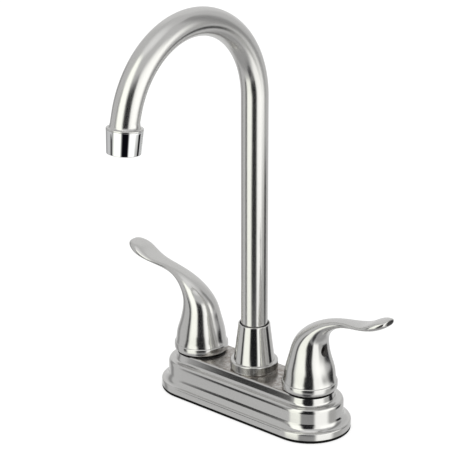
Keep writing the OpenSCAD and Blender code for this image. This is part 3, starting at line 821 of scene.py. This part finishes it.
def flare_profile():
    """Radius and distance from the outlet: the flare, its rim, and the nipple inside it."""
    edge_r, edge_z = 0.7, 0.4
    fillet_w = RIM_R - TUBE_R - edge_r - 0.2
    fillet_h = FLARE_LEN - edge_z - edge_r
    fillet = [
        (
            TUBE_R + fillet_w * (1 - math.cos(math.radians(a))),
            FLARE_LEN - fillet_h * math.sin(math.radians(a)),
        )
        for a in range(0, 91, 6)
    ]
    rim = arc(RIM_R - edge_r, edge_z, edge_r, 75, 0, 7)
    nipple = [(NIPPLE_R, 0), (NIPPLE_R, -NIPPLE_LEN), (TUBE_BORE_R, -NIPPLE_LEN)]
    return [*fillet, *rim, (RIM_R, 0), *nipple]


def make_spout():
    """The gooseneck: up the outside, over the flare and the nipple, and back down the bore."""
    stations = neck_stations()
    # The flare takes the place of the last stations, and the bore needs only some of them
    flare_steps, bore_stride = 5, 4
    rings = [ring_at(s, TUBE_R) for s in stations[:-flare_steps]]
    flow = OUTLET @ Matrix.Rotation(math.pi, 4, "X")
    for r, z in flare_profile():
        rings.append(ring_at(flow @ Matrix.Translation((0, 0, -z)), r))
    rings += [ring_at(s, TUBE_BORE_R) for s in reversed(stations[:-1:bore_stride])]
    neck = skin("gooseneck", rings, 2 * math.pi * TUBE_R, closed=True)
    seat("gooseneck", neck, "spout", "brushed_nickel_spout", SPOUT_NICKEL, "spout_tube")


def make_aerator():
    """The chrome shell round the outlet, narrower at its mouth."""
    socket_r, insert_r = NIPPLE_R + 0.05, MOUTH_BORE_R + 0.75
    top_z, shoulder_z, lip = -0.1, -7.4, 0.9
    profile = [
        (socket_r, top_z),
        (RIM_R - 0.45, top_z),
        *arc(RIM_R - 0.35, -0.4, 0.3, 80, 0, 5),
        (RIM_R - 0.12, -1.4),
        (MOUTH_R + 0.06, -AERATOR_LEN + 0.6),
        *arc(MOUTH_R - 0.45, -AERATOR_LEN + 0.5, 0.5, 0, -90, 6),
        (MOUTH_BORE_R + 0.25, -AERATOR_LEN),
        (MOUTH_BORE_R, -AERATOR_LEN + 0.25),
        (MOUTH_BORE_R, -AERATOR_LEN + lip),
        (insert_r, -AERATOR_LEN + lip),
        (insert_r, shoulder_z),
        (socket_r, shoulder_z),
    ]
    shell = skin("aerator", lathe(profile, place=OUTLET), 2 * math.pi * RIM_R, closed=True)
    seat("aerator_shell", shell, "spout", "polished_chrome", CHROME, "aerator_housing")


# ---------------------------------------------------------------- spout nut

NUT_POINTS = 120


def make_nut():
    """The nut's hub, the band that carries the knurl, and the taper up to the tube."""
    low, knurl_top = PLATEAU_Z, PLATEAU_Z + KNURL_H
    hub_r, pocket_r = 12.95, 11.9
    profile = [
        (hub_r, low),
        (KNURL_R - 1.2, low),
        *arc(KNURL_CORE_R - 0.45, low + 1.2, 0.45, -60, 0, 4),
        (KNURL_CORE_R, low + 1.6),
        (KNURL_CORE_R, knurl_top - 0.75),
        *arc(KNURL_CORE_R - 0.25, knurl_top - 0.65, 0.62, -10, 90, 9),
        (TAPER_FOOT_R + 0.25, knurl_top - 0.03),
        (TAPER_FOOT_R + 0.03, knurl_top + 0.05),
        (TAPER_FOOT_R - 0.06, knurl_top + 0.35),
        (TAPER_TOP_R + 0.17, NUT_TOP_Z - 1.3),
        *arc(TAPER_TOP_R - 0.33, NUT_TOP_Z - 0.5, 0.5, 10, 90, 8),
        (NUT_BORE_R + 0.2, NUT_TOP_Z),
        (NUT_BORE_R, NUT_TOP_Z - 0.2),
        (NUT_BORE_R, TUBE_END_Z + 1),
        (pocket_r, TUBE_END_Z + 1),
        (pocket_r, TUBE_END_Z - 2.5),
        (hub_r, TUBE_END_Z - 2.5),
    ]
    body = skin("nut", lathe(profile, NUT_POINTS), 2 * math.pi * TAPER_FOOT_R, closed=True)
    seat("spout_nut_body", body, "base", "brushed_nickel_nut", NUT_NICKEL, "spout_nut")


def grown(name, tree, values, material):
    """Runs a Geometry Nodes tree on an empty mesh and gives back the plain mesh."""
    seed = linked("seed", bpy.data.meshes.new("seed"))
    modifier = seed.modifiers.new("grow", "NODES")
    modifier.node_group = tree
    values = {**values, "Finish": material}
    for item in tree.interface.items_tree:
        if item.item_type == "SOCKET" and item.in_out == "INPUT" and item.name in values:
            modifier[item.identifier] = values[item.name]
    seed.update_tag()
    mesh = bpy.data.meshes.new_from_object(
        seed.evaluated_get(bpy.context.evaluated_depsgraph_get())
    )
    bpy.data.objects.remove(seed)
    mesh.name = name
    return mesh


def raised(nodes, geometry, level):
    """Geometry moved up."""
    inputs = {"Geometry": geometry, "Translation": out(nodes, "ShaderNodeCombineXYZ", {"Z": level})}
    return out(nodes, "GeometryNodeTransform", inputs)


def end_tree(nodes, geometry, finish, end):
    """The last steps of a Geometry Nodes tree: real geometry, with its finish on."""
    real = out(nodes, "GeometryNodeRealizeInstances", {0: geometry})
    inputs = {"Geometry": real, "Material": finish}
    feed(end, {"Geometry": out(nodes, "GeometryNodeSetMaterial", inputs)})


def knurl_tree():
    """Straight ridges set round a band."""
    tree, nodes, given, end = new_group(
        "Knurl ridges",
        "GeometryNodeTree",
        [
            ("Radius", "Float", 0.0167),
            ("Height", "Float", 0.0045),
            ("Foot level", "Float", 0.0305),
            ("Ridges", "Int", 72),
            ("Ridge width", "Float", 0.001),
            ("Ridge depth", "Float", 0.0007),
            ("Finish", "Material", None),
        ],
        [("Geometry", "Geometry")],
    )
    band = out(nodes, "GeometryNodeCurvePrimitiveCircle", {"Radius": given["Radius"]}, "Curve")
    inputs = {"Curve": band, "Count": given["Ridges"]}
    spots = out(nodes, "GeometryNodeCurveToPoints", inputs, "Points", mode="COUNT")
    half = calc(nodes, "MULTIPLY", given["Ridge width"], 0.5)
    inputs = {"Vertices": 4, "Radius": half, "Depth": given["Height"]}
    rod = out(nodes, "GeometryNodeMeshCylinder", inputs, "Mesh", fill_type="NGON")
    ratio = calc(nodes, "DIVIDE", given["Ridge depth"], half)
    size = out(nodes, "ShaderNodeCombineXYZ", {"X": ratio, "Y": 1, "Z": 1})
    flat = out(nodes, "GeometryNodeTransform", {"Geometry": rod, "Scale": size})
    inputs = {"Vector": out(nodes, "GeometryNodeInputPosition")}
    turn = out(nodes, "FunctionNodeAlignRotationToVector", inputs, axis="X")
    inputs = {"Points": spots, "Instance": flat, "Rotation": turn}
    copies = out(nodes, "GeometryNodeInstanceOnPoints", inputs)
    middle = calc(nodes, "MULTIPLY_ADD", given["Height"], 0.5, given["Foot level"])
    end_tree(nodes, raised(nodes, copies, middle), given["Finish"], end)
    return tree


def make_knurl():
    """The ridges of the nut's band, sunk a little into it."""
    values = {
        "Radius": (KNURL_CORE_R - 0.1) * MM,
        "Height": (KNURL_H - 2.2) * MM,
        "Foot level": (PLATEAU_Z + 1.45) * MM,
        "Ridges": KNURL_COUNT,
        "Ridge width": 1.12 * MM,
        "Ridge depth": 0.45 * MM,
    }
    mesh = grown("knurl", knurl_tree(), values, KNURL_SHADED_NICKEL)
    seat("spout_nut_knurl", mesh, "base", "brushed_nickel_nut", KNURL_SHADED_NICKEL)


# ---------------------------------------------------------------- supply shanks


def thread_tree():
    """One ridge that winds round a shank."""
    tree, nodes, given, end = new_group(
        "Shank thread",
        "GeometryNodeTree",
        [
            ("Radius", "Float", 0.0102),
            ("Pitch", "Float", 0.0018),
            ("Length", "Float", 0.01),
            ("Foot level", "Float", -0.05),
            ("Ridge height", "Float", 0.0005),
            ("Finish", "Material", None),
        ],
        [("Geometry", "Geometry")],
    )
    inputs = {
        "Resolution": 40,
        "Rotations": calc(nodes, "DIVIDE", given["Length"], given["Pitch"]),
        "Start Radius": given["Radius"],
        "End Radius": given["Radius"],
        "Height": given["Length"],
    }
    coil = out(nodes, "GeometryNodeCurveSpiral", inputs)
    inputs = {"Resolution": 4, "Radius": given["Ridge height"]}
    ridge = out(nodes, "GeometryNodeCurvePrimitiveCircle", inputs, "Curve")
    inputs = {
        "Curve": raised(nodes, coil, given["Foot level"]),
        "Profile Curve": ridge,
        "Fill Caps": True,
    }
    swept = out(nodes, "GeometryNodeCurveToMesh", inputs)
    end_tree(nodes, swept, given["Finish"], end)
    return tree


def make_shanks():
    """Each supply shank, with a thread above and below its groove."""
    tree = thread_tree()
    root, groove_r = SHANK_R - THREAD_DEPTH, SHANK_R - 1
    foot_z, groove_z = -SHANK_LEN, -SHANK_LEN + 12
    profile = [
        (SHANK_BORE_R, foot_z),
        (root - 0.4, foot_z),
        (root, foot_z + 0.6),
        (root, groove_z),
        (groove_r, groove_z + 0.1),
        (groove_r, groove_z + 1.5),
        (root, groove_z + 1.6),
        (root, -1.6),
        (SHANK_R, -1.1),
        (SHANK_R, SHANK_TOP_Z),
        (SHANK_BORE_R, SHANK_TOP_Z),
    ]
    threads = {"lower": (foot_z + 1, 10.2), "upper": (groove_z + 2.4, -groove_z - 5)}
    for name, side in SIDES.items():
        place = Matrix.Translation((side * HANDLE_X, 0, 0))
        rings = lathe(profile, place=place)
        shank = skin("shank", rings, 2 * math.pi * SHANK_R, closed=True)
        seat(name + "_shank_body", shank, "base", "brass", BRASS, name + "_shank")
        for part, (foot, length) in threads.items():
            values = {
                "Radius": root * MM,
                "Pitch": THREAD_PITCH * MM,
                "Length": length * MM,
                "Foot level": foot * MM,
                "Ridge height": THREAD_DEPTH * MM,
            }
            mesh = grown(name + "_thread", tree, values, BRASS)
            mesh.transform(Matrix.Translation((side * HANDLE_X * MM, 0, 0)))
            outward(mesh)
            seat(name + "_" + part + "_shank_thread", mesh, "base", "brass", BRASS)


# ---------------------------------------------------------------- lever handles

# Control points of the lever's back and belly, outward and up from the handle's axis
BACK_LINE = [
    (-BELL_R, LOFT_Z),
    (-BELL_R + 1.1, LOFT_Z + 9),
    (-BELL_R + 4.5, LOFT_Z + 20),
    (-BELL_R + 6.9, CROWN_Z - 20.9),
    (7.1, CROWN_Z - 6.8),
    (29, CROWN_Z - 0.7),
    (LEVER_REACH - 19.7, CROWN_Z),
    (LEVER_REACH - 10, CROWN_Z + 8),
    (LEVER_REACH - 1, CROWN_Z + 9),
]
BELLY_LINE = [
    (BELL_R, LOFT_Z),
    (BELL_R - 1.5, LOFT_Z + 9),
    (BELL_R - 4.2, LOFT_Z + 16),
    (BELL_R - 5.6, CROWN_Z - 29.2),
    (BELL_R - 6.6, CROWN_Z - 20.1),
    (23, CROWN_Z - 7.5),
    (LEVER_REACH - 24.2, CROWN_Z - 3.7),
    (LEVER_REACH - 9, CROWN_Z - 1),
    (LEVER_REACH - 1, CROWN_Z + 4.5),
]
# Half width, power of the back's curve and of the belly's, where 2 is an ellipse, and how much
# narrower the belly is
SECTIONS = [
    (BELL_R, 2, 2, 0),
    (BELL_R - 0.9, 2, 2.6, 0.07),
    (BELL_R - 3.4, 2.05, 2.35, 0.02),
    (BELL_R - 5.8, 1.9, 2.5, 0.08),
    (BELL_R - 8.4, 1.7, 2.5, 0.17),
    (NECK_HALF_W, 2.15, 2.25, 0.15),
    (PADDLE_HALF_W - 2.5, 2.4, 2.4, 0),
    (PADDLE_HALF_W, 2.4, 2.4, 0),
    (PADDLE_HALF_W - 4.5, 2.4, 2.4, 0),
]
HANDLE_POINTS = 72
GIRTH_SHARE = 0.7
BODY_STEPS, TIP_STEPS = 110, 16
TIP_START = 0.86
TIP_ANGLE = 88
FOOT_FLARE = 0.6
FLARE_RISE = 5.0


def spline_at(points, t):
    """A point on the clamped cubic B-spline of a control polygon."""
    q = [points[0]] * 2 + list(points) + [points[-1]] * 2
    spans = len(q) - 3
    i = min(int(t * spans), spans - 1)
    u = t * spans - i
    weights = (
        (1 - u) ** 3,
        3 * u**3 - 6 * u**2 + 4,
        3 * u + 3 * u**2 - 3 * u**3 + 1,
        u**3,
    )
    return [sum(w * q[i + k][axis] for k, w in enumerate(weights)) / 6 for axis in range(len(q[0]))]


def lever_ring(t, close):
    """One section across the handle, closed in by a factor near the tip."""
    back, belly = Vector(spline_at(BACK_LINE, t)), Vector(spline_at(BELLY_LINE, t))
    half_width, back_power, belly_power, taper = spline_at(SECTIONS, t)
    width = half_width * close
    middle, half = (back + belly) / 2, (belly - back) / 2 * close**0.6
    ring = []
    for j in range(HANDLE_POINTS):
        a = 2 * math.pi * (j + 0.5) / HANDLE_POINTS
        c, s = math.cos(a), math.sin(a)
        power = belly_power if c > 0 else back_power
        c = math.copysign(abs(c) ** (2 / power), c)
        s = math.copysign(abs(s) ** (2 / power), s) * (1 - taper * c)
        ring.append((middle[0] + half[0] * c, width * s, middle[1] + half[1] * c))
    return ring


def handle_rings():
    """From the roof of the stem's socket down the hollow, round the skirt and up to the tip."""
    head_room_z = PLATEAU_Z + 10.6
    hollow = [
        (SPLINE_R + 0.05, SCREW_Z + 6.5),
        (SPLINE_R + 0.05, GLAND_TOP_Z + 0.6),
        (GLAND_R + 0.8, GLAND_TOP_Z + 0.6),
        (BELL_R - 1 - SKIRT_WALL, head_room_z),
        (CAVITY_R, LOFT_Z),
        (CAVITY_R, SKIRT_Z + 0.7),
    ]
    skirt = [
        (BEAD_R - 2.3, SKIRT_Z + 0.7),
        *arc(BEAD_R - 0.9, SKIRT_Z + 1.4, 0.7, -85, -10, 6),
        (BEAD_R - 0.06, SKIRT_Z + 2.4),
        (BEAD_R, SKIRT_Z + 3.3),
        (BEAD_R - 0.07, LOFT_Z - 1.9),
        *arc(BEAD_R - 0.95, LOFT_Z - 1.1, 0.85, 12, 84, 8),
        (BELL_R + FOOT_FLARE + 0.02, LOFT_Z - 0.18),
    ]
    rings = [circle(r, z, HANDLE_POINTS, shift=0.5) for r, z in hollow + skirt]
    for k in range(BODY_STEPS + 1):
        ring = lever_ring(TIP_START * k / BODY_STEPS, 1.0)
        rise = max(0.0, 1 - (ring[0][2] - LOFT_Z) / FLARE_RISE)
        spread = 1 + FOOT_FLARE * rise**2.2 / BELL_R
        rings.append([(x * spread, y * spread, z) for x, y, z in ring])
    for k in range(1, TIP_STEPS + 1):
        a = math.radians(TIP_ANGLE * k / TIP_STEPS)
        rings.append(lever_ring(TIP_START + (1 - TIP_START) * math.sin(a), math.cos(a)))
    return rings


def make_handle(name, side):
    """A bell and its lever in one, with the flared hole of the set screw."""
    rings = [[(side * (HANDLE_X + x), y, z) for x, y, z in ring] for ring in handle_rings()]
    mesh = skin(f"{name}_handle", rings, 2 * math.pi * BELL_R * GIRTH_SHARE)
    mesh.materials.append(HANDLE_NICKEL)
    middle = side * HANDLE_X
    face = middle + side * SCREW_FACE
    sunk, proud = 1.6, 2
    bore = (SCREW_R, (middle, 0, SCREW_Z), (middle + side * BEAD_R, 0, SCREW_Z))
    inner, outer = (face - side * sunk, 0, SCREW_Z), (face + side * proud, 0, SCREW_Z)
    flare = (SCREW_R - 0.4, inner, outer, SCREW_R + 3.2)
    # The hole's walls get the near-black lining, a painted shade inside the hole
    mesh = cut(f"{name}_handle", mesh, [bore, flare], SCREW_HOLE_SHADE)
    seat(
        f"{name}_lever",
        mesh,
        f"{name}_handle",
        "brushed_nickel_handle",
        HANDLE_NICKEL,
        f"{name}_lever_handle",
    )


def make_skirt_gap_shade_ring(name, side):
    """A thin black ring on the plateau under each skirt, lipped down over the plateau's edge:
    painted shade of the gap under the skirt, drawn as a rubber ring.
    """
    inner_r, lip_r, bend_r = 13.4, PLATEAU_R + 0.2, 1.2
    low, top = PLATEAU_Z, PLATEAU_Z + 1.25
    edge = PLATEAU_R - bend_r
    profile = [
        (inner_r, low),
        (edge, low),
        *[
            (edge + bend_r * math.sin(a), low - bend_r + bend_r * math.cos(a))
            for a in (0.3, 0.6, 0.85)
        ],
        (PLATEAU_R + 0.02, low - 0.9),
        (lip_r, low - 0.8),
        (lip_r, low + 0.9),
        (PLATEAU_R - 0.1, top),
        (inner_r, top),
    ]
    rings = lathe(profile, place=Matrix.Translation((side * HANDLE_X, 0, 0)))
    ring = skin(f"{name}_ring", rings, 2 * math.pi * PLATEAU_R, closed=True)
    seat(f"{name}_skirt_gap_shade_ring", ring, "base", "black_rubber", BLACK_RUBBER)


# ---------------------------------------------------------------- carried-over pieces

CARRIED = {
    "base_gasket": BLACK_RUBBER,
    "waterway_casting": BRASS,
    "shank_washer": STEEL,
    "lock_nut": WHITE_NYLON,
    "hold_down_nut": BRASS,
    "cartridge_body": BRASS,
    "cartridge_o_ring": BLACK_RUBBER,
    "seat_seal": BLACK_RUBBER,
    "fixed_disc": CERAMIC,
    "moving_disc": CERAMIC,
    "stem": BRASS,
    "stem_o_ring": BLACK_RUBBER,
    "set_screw": DULL_STEEL,
    "spout_thrust_washer": WHITE_NYLON,
    "nut_guide_bush": BLACK_NYLON,
    "spout_foot": BRASS,
    "lower_spout_o_ring": BLACK_RUBBER,
    "upper_spout_o_ring": BLACK_RUBBER,
    "aerator_washer": BLACK_RUBBER,
    "aerator_insert": WHITE_NYLON,
    "aerator_screen": STEEL,
}


def finish_carried():
    """Gives every CAD node that still shows its finish."""
    for name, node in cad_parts.items():
        kind = name.removeprefix("left_").removeprefix("right_")
        if kind in CARRIED:
            for slot in node.material_slots:
                slot.material = CARRIED[kind]


# ---------------------------------------------------------------- assembly

make_camera()
make_world()
make_tent()
make_floor()
make_base_cover()
make_gasket_lip_shadow_line()
make_spout()
make_aerator()
make_nut()
make_knurl()
make_shanks()
for name, side in SIDES.items():
    make_handle(name, side)
    make_skirt_gap_shade_ring(name, side)
finish_carried()

bpy.context.scene.view_settings.view_transform = "Standard"
